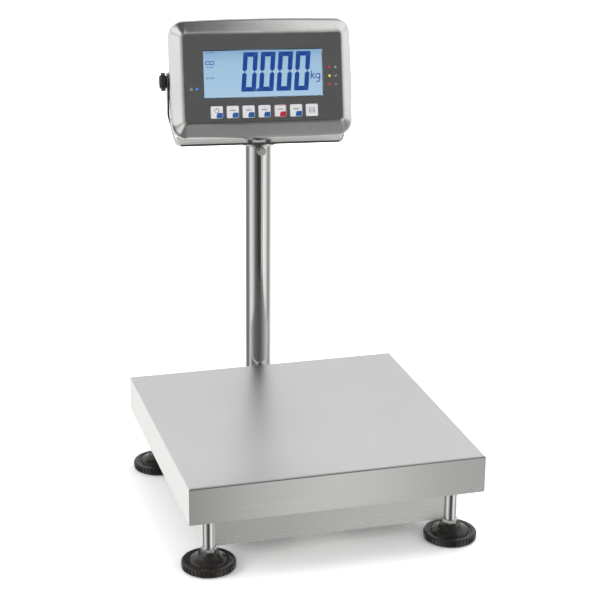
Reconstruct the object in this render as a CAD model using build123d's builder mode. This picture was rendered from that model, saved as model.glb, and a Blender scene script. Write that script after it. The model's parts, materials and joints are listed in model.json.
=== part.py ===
from build123d import *
import os
from math import cos, radians, sin

os.makedirs("parts", exist_ok=True)

# Weighing pan: a folded sheet tray, upside down
pan_length = 400.0
pan_depth = 400.0
pan_height = 130.0
pan_skirt = 51.0
pan_sheet = 2.0
pan_bend = 2.5

# Levelling feet
foot_inset_x = 33.0
foot_inset_y = 36.5
pad_radius = 36.0
pad_rim_height = 10.5
pad_bevel = 1.5
pad_step = 2.0
pad_crest = 6.0
collar_radius = 24.0
hub_radius = 14.0
hub_flare = 3.5
hub_step = 5.0
hub_top = 20.5
stud_radius = 6.0
stud_length = 62.0
stud_sink = 8.0
nut_across_flats = 18.0
nut_height = 7.0
rib_count = 40
rib_depth = 1.1
rib_width = 2.3

# Base frame: channels that open inwards, and the beam under the load cell
frame_gap = 6.5
channel_flange = 28.0
channel_wall = 3.0
bushing_radius = 8.0
beam_width = 60.0
beam_height = 24.0

# Load cell and the cross that it carries
spacer_height = 4.0
cell_width = 40.0
cell_length = 150.0
cell_height = 40.0
cell_end = 45.0
cell_hole_radius = 13.0
cell_hole_spread = 54.0
cell_bolt_pitch = 22.0
cell_bolt_radius = 4.0
cell_bolt_reach = 20.0
spider_height = 20.0
spider_arm_width = 34.0
spider_wall = 3.0
spider_plate_width = 60.0
bumper_reach = 150.0
bumper_radius = 14.0
stop_inset = 7.5
stop_land = 17.5
stop_radius = 5.0
stop_across_flats = 16.0
stop_gap = 0.6

# Bubble level
level_radius = 11.0
level_height = 12.0
level_wall = 1.5
level_x = -60.0
vial_taper = 30.0

# Column
tube_radius = 19.0
tube_wall = 2.0
tube_top = 464.0
tube_bottom = 30.0
column_gap = 5.0
cheek_wall = 4.0
bracket_plate_width = 110.0
cheek_overhang = 17.0
bolt_radius = 4.0
bolt_across_flats = 13.0
bolt_head_height = 5.3
bolt_inset = 12.5
cap_thickness = 3.0
cap_plug = 6.0
clamp_drop = 8.0
clamp_radius = 3.0
clamp_across_flats = 10.0
clamp_head_height = 4.0
boss_radius = 6.5
boss_height = 2.0

# Flange and U bracket that carry the head
flange_radius = 27.0
flange_height = 3.0
spigot_length = 28.0
cable_bore = 10.0
flange_screw_reach = 13.0
flange_screw_radius = 2.5
flange_screw_head = 4.5
strip_wall = 3.0
strip_width = 48.0
strip_bend = 7.0
arm_width = 26.0
arm_gap = 15.0
arm_bend = 30.0
splay = 10.0
splay_rise = 42.0
taper_length = 14.0
pivot_rise = 89.0

# Display head, turned and tilted as in use
head_turn = -7.0
head_tilt = 15.0
panel_width = 222.0
panel_height = 121.0
panel_forward = 58.0
overlay_thickness = 1.0
panel_margin = 1.5
panel_corner = 4.0
cover_width = 258.0
cover_height = 169.0
cover_corner = 21.0
cover_crown = 2.5
cover_side_crown = 1.2
cover_slope = 22.0
cover_wall = 2.0
cover_rounding = 12.0
cover_edge = 19.5
gasket_thickness = 1.5
flange_lip = 2.5
flange_lip_depth = 4.0
housing_width = 226.0
housing_height = 142.0
housing_corner = 18.0
housing_back = 38.0
housing_rounding = 9.0
housing_wall = 2.0

# What the face carries
window_width = 169.0
window_height = 66.7
window_rise = 5.5
window_ledge = 1.2
key_count = 7
key_size = 17.0
key_pitch = 22.3
key_row = -47.0
key_proud = 0.6
key_travel = 0.5
lamp_radius = 1.7
lamp_gap = 9.0
lamp_pitch = 12.0
power_lamp_row = -14.0
module_depth = 8.0
board_thickness = 1.6
key_lip = 1.2
key_board_margin = 1.5
key_board_lip = 1.0
lamp_flange = 2.4
battery_width = 100.0
battery_height = 60.0
battery_depth = 24.0
post_reach_x = 98.0
post_reach_y = 52.0
post_radius = 5.0
case_screw_radius = 2.0
case_screw_head = 4.0
case_screw_length = 60.0

# Tilt joint: a clamp knob on the left and a low pivot screw on the right
pivot_radius = 4.0
pivot_boss_radius = 14.0
boss_inside = 2.0
washer_thickness = 3.2
knob_radius = 13.0
knob_height = 8.5
knob_collar_radius = 8.5
knob_collar = 1.5
knob_lobes = 8
knob_lobe_radius = 2.6
knob_bevel = 2.5
knob_taper = 40.0
screw_head_radius = 9.0
screw_head_height = 2.8

# Cable glands
gland_radius = 8.0
gland_across_flats = 19.0
gland_length = 20.0
gland_hole = 3.5
gland_taper = 8.0
gland_spread = 42.0
gland_row = -36.0
frame_gland_x = 95.0

# Clearances and small edges
running = 0.05
slack = 0.2
seat = 0.3
edge_chamfer = 1.0
edge_tolerance = 0.01

# Places worked out from the sizes above
foot_x = pan_length / 2 - foot_inset_x
foot_y = pan_depth / 2 - foot_inset_y
frame_x = foot_x
frame_y = foot_y
bay_x = frame_x - channel_flange
bay_y = frame_y - channel_flange
stop_reach = min(bay_x, bay_y) - stop_inset
gusset_side = bay_x + bay_y - 2 * stop_reach + stop_land
skirt_bottom = pan_height - pan_skirt
frame_top = skirt_bottom - frame_gap
frame_bottom = hub_top + nut_height
channel_height = frame_top - frame_bottom
pan_underside = pan_height - pan_sheet
beam_top = frame_bottom + beam_height
cell_bottom = beam_top + spacer_height
cell_top = cell_bottom + cell_height
spider_bottom = cell_top + spacer_height
spider_top = spider_bottom + spider_height
head_sine, head_cosine = sin(radians(head_tilt)), cos(radians(head_tilt))
turn_sine, turn_cosine = sin(radians(head_turn)), cos(radians(head_turn))
column_behind = pan_depth / 2 + column_gap + tube_radius
head_reach = housing_back * head_cosine + housing_height / 2 * head_sine
rear_reach = column_behind + head_reach * turn_cosine - housing_width / 2 * turn_sine
pan_y = -(rear_reach - housing_rounding / 2 - pan_depth / 2) / 2
column_y = pan_y + column_behind
flange_top = tube_top + flange_height
strip_top = flange_top + strip_wall
pivot_z = flange_top + pivot_rise
inner_span = housing_width + 2 * arm_gap
half_span = inner_span / 2 + strip_wall
half_base = half_span - splay
tube_bore = tube_radius - tube_wall
panel_back = panel_forward - overlay_thickness
slope_back = panel_back - cover_slope
housing_front = cover_edge - gasket_thickness
housing_floor = housing_wall - housing_back
hollow_corner = housing_corner - housing_wall
boss_reach = inner_span / 2 - washer_thickness - slack
boss_length = boss_reach - housing_width / 2 + housing_wall + boss_inside
stud_reach = half_span + slack - boss_reach + boss_length - seat
lamp_column = window_width / 2 + lamp_gap
gland_places = [(side * gland_spread, gland_row) for side in (-1, 1)]
bolt_levels = (frame_bottom + bolt_inset, frame_top - bolt_inset)
corners = [(x, y) for y in (-1, 1) for x in (-1, 1)]
corner_names = ["front_left", "front_right", "rear_left", "rear_right"]
head_x = Vector(turn_cosine, turn_sine, 0)
head_front = Vector(turn_sine, -turn_cosine, 0)
face_normal = head_front * head_cosine + Vector(0, 0, head_sine)


def deck(height):
    """A level plane over the pan's centre."""
    return Plane((0, pan_y, height))


def mast(height):
    """A level plane on the column's axis."""
    return Plane((0, column_y, height))


def arm_plane(height):
    """A level plane on the column's axis, turned with the head."""
    return Plane((0, column_y, height), x_dir=head_x, z_dir=(0, 0, 1))


def face(forward):
    """A plane parallel to the display's face, forward of the tilt axis."""
    return Plane((0, column_y, pivot_z), x_dir=head_x, z_dir=face_normal).offset(forward)


def side_plane(out):
    """A plane square to the tilt axis; out is measured along it, to the right."""
    centre = Vector(0, column_y, pivot_z) + head_x * out
    return Plane(centre, x_dir=face_normal, z_dir=head_x)


def bore_circle(radius, depth, plane):
    """A round hole cut from a plane, along its normal."""
    with BuildSketch(plane) as outline:
        Circle(radius)
    extrude(outline.sketch, amount=depth, mode=Mode.SUBTRACT)


def disc(radius, height, plane):
    """A round bar or disc that stands on a plane."""
    with BuildSketch(plane) as outline:
        Circle(radius)
    extrude(outline.sketch, amount=height)


def hexagon(across_flats, height, plane):
    """A six-sided prism that stands on a plane."""
    with BuildSketch(plane) as outline:
        RegularPolygon(across_flats / 2, 6, major_radius=False)
    extrude(outline.sketch, amount=height)


def hex_bolt(radius, length, across_flats, head_height, plane):
    """A bolt whose head stands on the plane and whose shank goes back from it."""
    hexagon(across_flats, head_height, plane)
    disc(radius, -length, plane)


def cover_outline(inset):
    """The crowned outline of the front cover's rim, with round corners."""
    half_x, half_y = cover_width / 2 - inset, cover_height / 2 - inset
    edge_x, edge_y = half_x - cover_side_crown, half_y - cover_crown
    with BuildLine() as rim:
        ThreePointArc((-edge_x, edge_y), (0, half_y), (edge_x, edge_y))
        ThreePointArc((edge_x, edge_y), (half_x, 0), (edge_x, -edge_y))
        ThreePointArc((edge_x, -edge_y), (0, -half_y), (-edge_x, -edge_y))
        ThreePointArc((-edge_x, -edge_y), (-half_x, 0), (-edge_x, edge_y))
    outline = make_face(rim.edges())
    fillet(outline.vertices(), cover_corner - inset)


def cover_form(inset):
    """The pillow-shaped form of the front cover, or its hollow when inset by the wall."""
    margin = 2 * (panel_margin - inset / 2)
    with BuildSketch(face(panel_back - inset)) as panel:
        RectangleRounded(panel_width + margin, panel_height + margin, panel_corner)
    with BuildSketch(face(slope_back - inset)) as rim:
        cover_outline(inset)
    loft([panel.sketch, rim.sketch])
    extrude(rim.sketch, amount=cover_edge - slope_back + inset)
    rim_plane = face(slope_back - inset)
    rim_edges = edges().filter_by(lambda e: abs(rim_plane.to_local_coords(e @ 0.5).Z) < edge_tolerance)
    fillet(rim_edges, cover_rounding - inset)


def key_centres():
    """Where the keys stand in the face."""
    middle = (key_count - 1) / 2
    return [((i - middle) * key_pitch, key_row) for i in range(key_count)]


def lamp_centres():
    """Three check lamps on the right and the power lamp on the left."""
    rows = [(lamp_column, lamp_pitch * k) for k in (1, 0, -1)]
    return rows + [(-lamp_column, power_lamp_row)]


def save(part, name):
    """Label a finished piece and write it."""
    part.part.label = name
    export_step(part.part, f"parts/{name}.step")


# Weighing pan
with BuildPart() as weighing_pan:
    with BuildSketch(deck(skirt_bottom)):
        Rectangle(pan_length, pan_depth)
    extrude(amount=pan_skirt)
    top_edges = weighing_pan.edges().group_by(Axis.Z)[-1]
    fillet(top_edges, pan_bend)
    with BuildSketch(deck(skirt_bottom)):
        Rectangle(pan_length - 2 * pan_sheet, pan_depth - 2 * pan_sheet)
    extrude(amount=pan_skirt - pan_sheet, mode=Mode.SUBTRACT)
save(weighing_pan, "weighing_pan")

# Feet: a moulded pad and a steel stud in each corner
for (side_x, side_y), corner_name in zip(corners, corner_names):
    foot_centre = (side_x * foot_x, pan_y + side_y * foot_y, 0)
    with BuildPart() as foot_pad:
        with BuildSketch(Plane(foot_centre, x_dir=(1, 0, 0), z_dir=(0, -1, 0))):
            with BuildLine():
                Polyline(
                    (0, 0),
                    (pad_radius - pad_bevel, 0),
                    (pad_radius, pad_bevel),
                    (pad_radius, pad_rim_height - pad_step),
                    (pad_radius - pad_step, pad_rim_height),
                    (pad_radius - pad_crest, pad_rim_height),
                    (pad_radius - pad_crest - pad_step, pad_rim_height - pad_step),
                    (collar_radius + pad_step, pad_rim_height - pad_step),
                    (collar_radius, pad_rim_height + pad_step),
                    (hub_radius + hub_flare, pad_rim_height + hub_step),
                    (hub_radius, hub_top),
                    (0, hub_top),
                    (0, 0),
                )
            make_face()
        revolve(axis=Axis(foot_centre, (0, 0, 1)))
        with BuildSketch(Plane(foot_centre)):
            with PolarLocations(pad_radius, rib_count):
                Rectangle(2 * rib_depth, rib_width)
        extrude(amount=pad_rim_height, mode=Mode.SUBTRACT)
        bore_circle(stud_radius, stud_sink, Plane(foot_centre).offset(hub_top - stud_sink))
    save(foot_pad, f"foot_pad_{corner_name}")

    with BuildPart() as foot_stud:
        disc(stud_radius, stud_length, Plane(foot_centre).offset(hub_top - stud_sink))
        chamfer(foot_stud.edges().group_by(Axis.Z)[-1], stud_radius / 6)
    save(foot_stud, f"foot_stud_{corner_name}")

# Lock nuts, turned up against the bushings
with BuildPart() as lock_nuts:
    with BuildSketch(deck(hub_top)):
        with GridLocations(2 * foot_x, 2 * foot_y, 2, 2):
            RegularPolygon(nut_across_flats / 2, 6, major_radius=False)
            Circle(stud_radius + running, mode=Mode.SUBTRACT)
    extrude(amount=nut_height)
save(lock_nuts, "lock_nuts")

# Base frame: four welded channels with their webs on the feet's axes, posts and gussets
rear_web = Plane((0, pan_y + frame_y, 0), x_dir=(-1, 0, 0), z_dir=(0, 1, 0))
bracket_bolt_x = bracket_plate_width / 2 - bolt_across_flats
bracket_bolt_places = [(side * bracket_bolt_x, z) for side in (-1, 1) for z in bolt_levels]
cell_end_middle = (cell_length - cell_end) / 2
cell_bolt_places = [side * cell_bolt_pitch / 2 for side in (-1, 1)]
frame_gland_spot = (frame_gland_x, pan_y + frame_y, frame_bottom + channel_height / 2)
gland_plane = Plane(frame_gland_spot, x_dir=(-1, 0, 0), z_dir=(0, 1, 0))
frame_inner_x = frame_x - channel_wall
frame_inner_y = frame_y - channel_wall


def cross_channel(side):
    """A channel across the front or rear, with a threaded post for a foot at each end."""
    with BuildSketch(deck(frame_bottom)) as whole:
        with Locations((0, side * (bay_y + channel_flange / 2))):
            Rectangle(2 * frame_x, channel_flange)
    extrude(whole.sketch, amount=channel_height)
    with BuildSketch(deck(frame_bottom + channel_wall)) as hollow:
        with Locations((0, side * (frame_inner_y - channel_flange / 2))):
            Rectangle(2 * frame_x, channel_flange)
    extrude(hollow.sketch, amount=channel_height - 2 * channel_wall, mode=Mode.SUBTRACT)
    for end in (-1, 1):
        post_foot = Plane((end * foot_x, pan_y + side * foot_y, frame_bottom))
        disc(bushing_radius, channel_height, post_foot)
        bore_circle(stud_radius + running, channel_height, post_foot)


with BuildPart() as front_channel:
    cross_channel(-1)
save(front_channel, "front_channel")

with BuildPart() as rear_channel:
    cross_channel(1)
    with BuildSketch(rear_web):
        with Locations(*bracket_bolt_places):
            Circle(bolt_radius + slack)
    extrude(amount=-channel_wall, mode=Mode.SUBTRACT)
    bore_circle(gland_radius + running, -channel_wall, gland_plane)
save(rear_channel, "rear_channel")

for side, side_name in ((-1, "left"), (1, "right")):
    with BuildPart() as side_channel:
        with BuildSketch(deck(frame_bottom)):
            with Locations((side * (bay_x + channel_flange / 2), 0)):
                Rectangle(channel_flange, 2 * bay_y)
        extrude(amount=channel_height)
        with BuildSketch(deck(frame_bottom + channel_wall)):
            with Locations((side * (frame_inner_x - channel_flange / 2), 0)):
                Rectangle(channel_flange, 2 * bay_y)
        extrude(amount=channel_height - 2 * channel_wall, mode=Mode.SUBTRACT)
        with BuildSketch(deck(frame_bottom + channel_wall)):
            with Locations((side * (frame_x - channel_wall / 2), 0)):
                Rectangle(channel_wall, 2 * frame_inner_y)
            with GridLocations(2 * foot_x, 2 * foot_y, 2, 2):
                Circle(bushing_radius, mode=Mode.SUBTRACT)
        extrude(amount=channel_height - 2 * channel_wall)
    save(side_channel, f"{side_name}_channel")

with BuildPart() as corner_gussets:
    with BuildSketch(deck(frame_top - channel_wall)):
        for side_x, side_y in corners:
            with BuildLine():
                Polyline(
                    (side_x * bay_x, side_y * bay_y),
                    (side_x * (bay_x - gusset_side), side_y * bay_y),
                    (side_x * bay_x, side_y * (bay_y - gusset_side)),
                    (side_x * bay_x, side_y * bay_y),
                )
            make_face()
        with GridLocations(2 * stop_reach, 2 * stop_reach, 2, 2):
            Circle(stop_radius, mode=Mode.SUBTRACT)
    extrude(amount=channel_wall)
save(corner_gussets, "corner_gussets")

# Beam under the load cell: a channel, open below, welded in on the frame's lower flanges
with BuildPart() as cell_beam:
    with BuildSketch(deck(frame_bottom)):
        Rectangle(beam_width, 2 * frame_inner_y)
    extrude(amount=beam_height)
    with BuildSketch(deck(frame_bottom)):
        Rectangle(beam_width - 2 * channel_wall, 2 * frame_inner_y)
    extrude(amount=beam_height - channel_wall, mode=Mode.SUBTRACT)
    with BuildSketch(deck(frame_bottom)):
        Rectangle(beam_width, 2 * frame_inner_y)
        Rectangle(beam_width, 2 * (frame_y - channel_flange), mode=Mode.SUBTRACT)
    extrude(amount=channel_wall, mode=Mode.SUBTRACT)
    with BuildSketch(deck(frame_bottom)):
        with Locations(*[(x, cell_end_middle) for x in cell_bolt_places]):
            Circle(cell_bolt_radius + slack)
    extrude(amount=beam_height, mode=Mode.SUBTRACT)
save(cell_beam, "cell_beam")

# Overload stops: screws under the ends of the cross, a small gap below it
with BuildPart() as overload_stops:
    for side_x, side_y in corners:
        stop_plane = Plane((side_x * stop_reach, pan_y + side_y * stop_reach, frame_top))
        hexagon(stop_across_flats, bolt_head_height, stop_plane)
        disc(stop_radius, spider_bottom - stop_gap - frame_top, stop_plane)
        disc(stop_radius, -2 * channel_wall, stop_plane)
save(overload_stops, "overload_stops")

# Load cell: a block of aluminium with two joined holes, which bends between its ends
with BuildPart() as load_cell:
    with BuildSketch(deck(cell_bottom)):
        Rectangle(cell_width, cell_length)
    extrude(amount=cell_height)
    cell_middle = (cell_bottom + cell_top) / 2
    cell_side = Plane((-cell_width / 2, pan_y, cell_middle), x_dir=(0, 1, 0), z_dir=(1, 0, 0))
    with BuildSketch(cell_side):
        SlotCenterToCenter(cell_hole_spread, 2 * cell_hole_radius)
    extrude(amount=cell_width, mode=Mode.SUBTRACT)
    chamfer(load_cell.edges().filter_by(Axis.Y), edge_chamfer)
    for x in cell_bolt_places:
        for z, end, way in ((cell_bottom, cell_end_middle, 1), (cell_top, -cell_end_middle, -1)):
            bore_circle(cell_bolt_radius + running, way * cell_bolt_reach, Plane((x, pan_y + end, z)))
save(load_cell, "load_cell")

with BuildPart() as lower_spacer:
    with BuildSketch(deck(beam_top)):
        with Locations((0, cell_end_middle)):
            Rectangle(cell_width, cell_end)
        with Locations(*[(x, cell_end_middle) for x in cell_bolt_places]):
            Circle(cell_bolt_radius + slack, mode=Mode.SUBTRACT)
    extrude(amount=spacer_height)
save(lower_spacer, "lower_spacer")

with BuildPart() as upper_spacer:
    with BuildSketch(deck(cell_top)):
        with Locations((0, -cell_end_middle)):
            Rectangle(cell_width, cell_end)
        with Locations(*[(x, -cell_end_middle) for x in cell_bolt_places]):
            Circle(cell_bolt_radius + slack, mode=Mode.SUBTRACT)
    extrude(amount=spacer_height)
save(upper_spacer, "upper_spacer")

# Load cross: two crossed channels, open below, and a plate that sits on the load cell
arm_length = 2 * (bumper_reach * 2 ** 0.5 + bumper_radius)
with BuildPart() as load_spider:
    for turn in (45, -45):
        with BuildSketch(deck(spider_bottom)):
            Rectangle(arm_length, spider_arm_width, rotation=turn)
        extrude(amount=spider_height)
    for turn in (45, -45):
        with BuildSketch(deck(spider_bottom)):
            Rectangle(arm_length - 2 * spider_wall, spider_arm_width - 2 * spider_wall, rotation=turn)
        extrude(amount=spider_height - spider_wall, mode=Mode.SUBTRACT)
    with BuildSketch(deck(spider_bottom)):
        Rectangle(spider_plate_width, cell_length)
    extrude(amount=spider_wall)
    with BuildSketch(deck(spider_bottom)):
        for side_x, side_y in corners:
            with Locations((side_x * stop_reach, side_y * stop_reach)):
                Rectangle(spider_arm_width - spider_wall, spider_arm_width - spider_wall, rotation=45)
    extrude(amount=spider_wall)
    with BuildSketch(deck(spider_bottom)):
        with Locations(*[(x, -cell_end_middle) for x in cell_bolt_places]):
            Circle(cell_bolt_radius + slack)
    extrude(amount=spider_wall, mode=Mode.SUBTRACT)
save(load_spider, "load_spider")

# Load cell bolts: one pair up through the beam, one pair down through the cross
beam_underside = beam_top - channel_wall
plate_top = spider_bottom + spider_wall
with BuildPart() as load_cell_bolts:
    for x in cell_bolt_places:
        below = Plane((x, pan_y + cell_end_middle, beam_underside), x_dir=(1, 0, 0), z_dir=(0, 0, -1))
        above = Plane((x, pan_y - cell_end_middle, plate_top))
        for plane in (below, above):
            hex_bolt(cell_bolt_radius, cell_bolt_reach, bolt_across_flats, bolt_head_height, plane)
save(load_cell_bolts, "load_cell_bolts")

# Rubber bumpers on the cross, one under each corner of the pan
with BuildPart() as pan_bumpers:
    with BuildSketch(deck(spider_top)):
        with GridLocations(2 * bumper_reach, 2 * bumper_reach, 2, 2):
            Circle(bumper_radius)
    extrude(amount=pan_underside - spider_top)
    chamfer(pan_bumpers.edges().group_by(Axis.Z)[-1], edge_chamfer)
save(pan_bumpers, "pan_bumpers")

# Bubble level, screwed to the front channel
level_y = pan_y - frame_y + channel_flange / 2
level_bore = level_radius - level_wall
level_plane = Plane((level_x, level_y, frame_top))
with BuildPart() as level_body:
    disc(level_radius, level_height, level_plane)
    bore_circle(level_bore, level_wall - level_height, level_plane.offset(level_height))
save(level_body, "level_body")

with BuildPart() as level_vial:
    disc(level_bore - slack, level_height - 2 * level_wall, level_plane.offset(level_wall))
    with BuildSketch(level_plane.offset(level_height - level_wall)):
        Circle(level_bore - slack)
    extrude(amount=level_wall, taper=vial_taper)
save(level_vial, "level_vial")

# Column bracket: a channel bolted to the rear of the frame, passing under the pan's skirt
cheek_gap = 2 * (tube_radius + slack / 2)
cheek_end = column_behind + cheek_overhang
with BuildPart() as column_bracket:
    with BuildSketch(deck(frame_bottom)):
        with Locations((0, frame_y + cheek_wall / 2)):
            Rectangle(bracket_plate_width, cheek_wall)
        for side in (-1, 1):
            with Locations((side * (cheek_gap + cheek_wall) / 2, (frame_y + cheek_end) / 2)):
                Rectangle(cheek_wall, cheek_end - frame_y)
    extrude(amount=channel_height)
    rear_edges = column_bracket.edges().filter_by(Axis.X).group_by(Axis.Y)[-1]
    fillet(rear_edges, channel_height / 5)
    with BuildSketch(rear_web.offset(cheek_wall)):
        with Locations(*bracket_bolt_places):
            Circle(bolt_radius + slack)
    extrude(amount=-cheek_wall, mode=Mode.SUBTRACT)
    for level in bolt_levels:
        across = Plane((-cheek_gap, column_y, level), x_dir=(0, 1, 0), z_dir=(1, 0, 0))
        bore_circle(bolt_radius + slack, 2 * cheek_gap, across)
save(column_bracket, "column_bracket")

# Bolts and nuts that hold the bracket to the frame
with BuildPart() as bracket_bolts:
    for x, z in bracket_bolt_places:
        outer = Plane((-x, pan_y + frame_y + cheek_wall, z), x_dir=(-1, 0, 0), z_dir=(0, 1, 0))
        grip = cheek_wall + channel_wall
        hex_bolt(bolt_radius, grip + bolt_head_height, bolt_across_flats, bolt_head_height, outer)
        hexagon(bolt_across_flats, -bolt_head_height, outer.offset(-grip))
save(bracket_bolts, "bracket_bolts")

# Column: a round tube with a welded boss for the clamp bolt
clamp_z = tube_top - clamp_drop
clamp_plane = Plane((0, column_y, clamp_z), x_dir=(1, 0, 0), z_dir=(0, -1, 0))
with BuildPart() as column_tube:
    disc(tube_radius, tube_top - tube_bottom, mast(tube_bottom))
    disc(boss_radius, tube_radius + boss_height, clamp_plane)
    bore_circle(tube_bore, tube_top - tube_bottom, mast(tube_bottom))
    bore_circle(clamp_radius + running, tube_radius + boss_height, clamp_plane)
    for level in bolt_levels:
        across = Plane((-cheek_gap, column_y, level), x_dir=(0, 1, 0), z_dir=(1, 0, 0))
        bore_circle(bolt_radius + slack, 2 * cheek_gap, across)
save(column_tube, "column_tube")

# Two bolts and nuts across the column's foot
with BuildPart() as column_bolts:
    for level in bolt_levels:
        head = Plane((cheek_gap / 2 + cheek_wall, column_y, level), x_dir=(0, 1, 0), z_dir=(1, 0, 0))
        across = cheek_gap + 2 * cheek_wall
        hex_bolt(bolt_radius, across + bolt_head_height, bolt_across_flats, bolt_head_height, head)
        hexagon(bolt_across_flats, -bolt_head_height, head.offset(-across))
save(column_bolts, "column_bolts")

# Plastic plug in the column's lower end
with BuildPart() as column_end_cap:
    disc(tube_radius, cap_thickness, mast(tube_bottom - cap_thickness))
    disc(tube_bore - running, cap_thickness + cap_plug, mast(tube_bottom - cap_thickness))
save(column_end_cap, "column_end_cap")

# Flange on the column's top, with a spigot that turns in the tube
with BuildPart() as column_flange:
    disc(flange_radius, flange_height, mast(tube_top))
    disc(tube_bore - running, -spigot_length, mast(tube_top))
    bore_circle(cable_bore, flange_height + spigot_length, mast(tube_top - spigot_length))
    with BuildSketch(arm_plane(tube_top)):
        with GridLocations(2 * flange_screw_reach, 2 * flange_screw_reach, 2, 2):
            Circle(flange_screw_radius + running)
    extrude(amount=flange_height, mode=Mode.SUBTRACT)
save(column_flange, "column_flange")

# Clamp bolt, which presses on the spigot
with BuildPart() as clamp_bolt:
    outside = clamp_plane.offset(tube_radius + boss_height)
    hexagon(clamp_across_flats, clamp_head_height, outside)
    disc(clamp_radius, -(boss_height + tube_wall - seat), outside)
save(clamp_bolt, "clamp_bolt")

# U bracket: one bent strip, wide under the head, splayed out to narrow arms beside it
arm_rise = pivot_rise + arm_width / 2
half_strip, half_arm = strip_width / 2, arm_width / 2
strip_plane = Plane((0, column_y, flange_top), x_dir=head_x, z_dir=head_front)
with BuildPart() as display_bracket:
    with BuildSketch(strip_plane):
        with BuildLine():
            Polyline(
                (-half_base, 0),
                (half_base, 0),
                (half_span, splay_rise),
                (half_span, arm_rise + strip_width),
                (-half_span, arm_rise + strip_width),
                (-half_span, splay_rise),
                (-half_base, 0),
            )
        outline = make_face()
        fillet(outline.vertices().group_by(Axis.Y)[1], arm_bend)
        fillet(vertices().group_by(Axis.Y)[0], strip_bend)
        offset(amount=-strip_wall, mode=Mode.SUBTRACT)
    extrude(amount=strip_width, both=True)
    with BuildSketch(arm_plane(flange_top)):
        with BuildLine():
            Polyline(
                (half_base - strip_bend, half_strip),
                (half_base - strip_bend + taper_length, half_arm),
                (half_span + strip_wall, half_arm),
                (half_span + strip_wall, -half_arm),
                (half_base - strip_bend + taper_length, -half_arm),
                (half_base - strip_bend, -half_strip),
                (-half_base + strip_bend, -half_strip),
                (-half_base + strip_bend - taper_length, -half_arm),
                (-half_span - strip_wall, -half_arm),
                (-half_span - strip_wall, half_arm),
                (-half_base + strip_bend - taper_length, half_arm),
                (-half_base + strip_bend, half_strip),
                (half_base - strip_bend, half_strip),
            )
        make_face()
    extrude(amount=arm_rise, mode=Mode.INTERSECT)
    left_spot = Vector(0, column_y, pivot_z) - head_x * half_span
    with BuildSketch(Plane(left_spot, x_dir=-head_front, z_dir=head_x)):
        Rectangle(arm_width + slack, arm_width, align=(Align.CENTER, Align.MIN))
        Circle(half_arm, mode=Mode.SUBTRACT)
        Circle(pivot_radius + running)
    extrude(amount=2 * half_span, mode=Mode.SUBTRACT)
    with BuildSketch(arm_plane(flange_top)):
        Circle(cable_bore)
        with GridLocations(2 * flange_screw_reach, 2 * flange_screw_reach, 2, 2):
            Circle(flange_screw_radius + running)
    extrude(amount=strip_wall, mode=Mode.SUBTRACT)
save(display_bracket, "display_bracket")

# Four button-head screws that hold the bracket to the flange
with BuildPart() as flange_screws:
    with BuildSketch(arm_plane(strip_top)):
        with GridLocations(2 * flange_screw_reach, 2 * flange_screw_reach, 2, 2):
            Circle(flange_screw_head)
    extrude(amount=flange_screw_radius)
    chamfer(flange_screws.edges().group_by(Axis.Z)[-1], flange_screw_radius / 3)
    with BuildSketch(arm_plane(strip_top)):
        with GridLocations(2 * flange_screw_reach, 2 * flange_screw_reach, 2, 2):
            Circle(flange_screw_radius)
    extrude(amount=-(strip_wall + flange_height - seat))
save(flange_screws, "flange_screws")

# Front cover of the head: a flat panel in a sloping band with a rounded rim
with BuildPart() as cover_hollow:
    cover_form(cover_wall)

with BuildPart() as front_cover:
    cover_form(0)
    add(cover_hollow.part, mode=Mode.SUBTRACT)
    for x, y in key_centres():
        with BuildSketch(face(panel_back)):
            with Locations((x, y)):
                Rectangle(key_size + 2 * slack, key_size + 2 * slack)
        extrude(amount=-cover_wall, mode=Mode.SUBTRACT)
    with BuildSketch(face(panel_back)):
        with Locations((0, window_rise)):
            Rectangle(window_width - 2 * window_ledge, window_height - 2 * window_ledge)
        with Locations(*lamp_centres()):
            Circle(lamp_radius + running)
    extrude(amount=-cover_wall, mode=Mode.SUBTRACT)
    with BuildSketch(face(panel_back - cover_wall)):
        with GridLocations(2 * post_reach_x, 2 * post_reach_y, 2, 2):
            Circle(post_radius)
            Circle(case_screw_radius + running, mode=Mode.SUBTRACT)
    extrude(amount=-(panel_back - cover_wall - housing_front - seat))
save(front_cover, "front_cover")

# Rubber gasket between the cover's edge and the housing's flange
with BuildPart() as housing_gasket:
    with BuildSketch(face(housing_front)):
        cover_outline(0)
    extrude(amount=gasket_thickness)
    with BuildSketch(face(housing_front)):
        cover_outline(2 * cover_wall)
    extrude(amount=gasket_thickness, mode=Mode.SUBTRACT)
save(housing_gasket, "housing_gasket")

# Rear housing: a deep tray with a flange, side bosses for the tilt joint and screw posts
hollow_width = housing_width - 2 * housing_wall
hollow_height = housing_height - 2 * housing_wall
with BuildPart() as housing_hollow:
    with BuildSketch(face(housing_floor)):
        RectangleRounded(hollow_width, hollow_height, hollow_corner)
    extrude(amount=housing_back + housing_front)
    fillet(housing_hollow.faces().sort_by(Axis.Y)[-1].edges(), housing_rounding - housing_wall)

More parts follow.
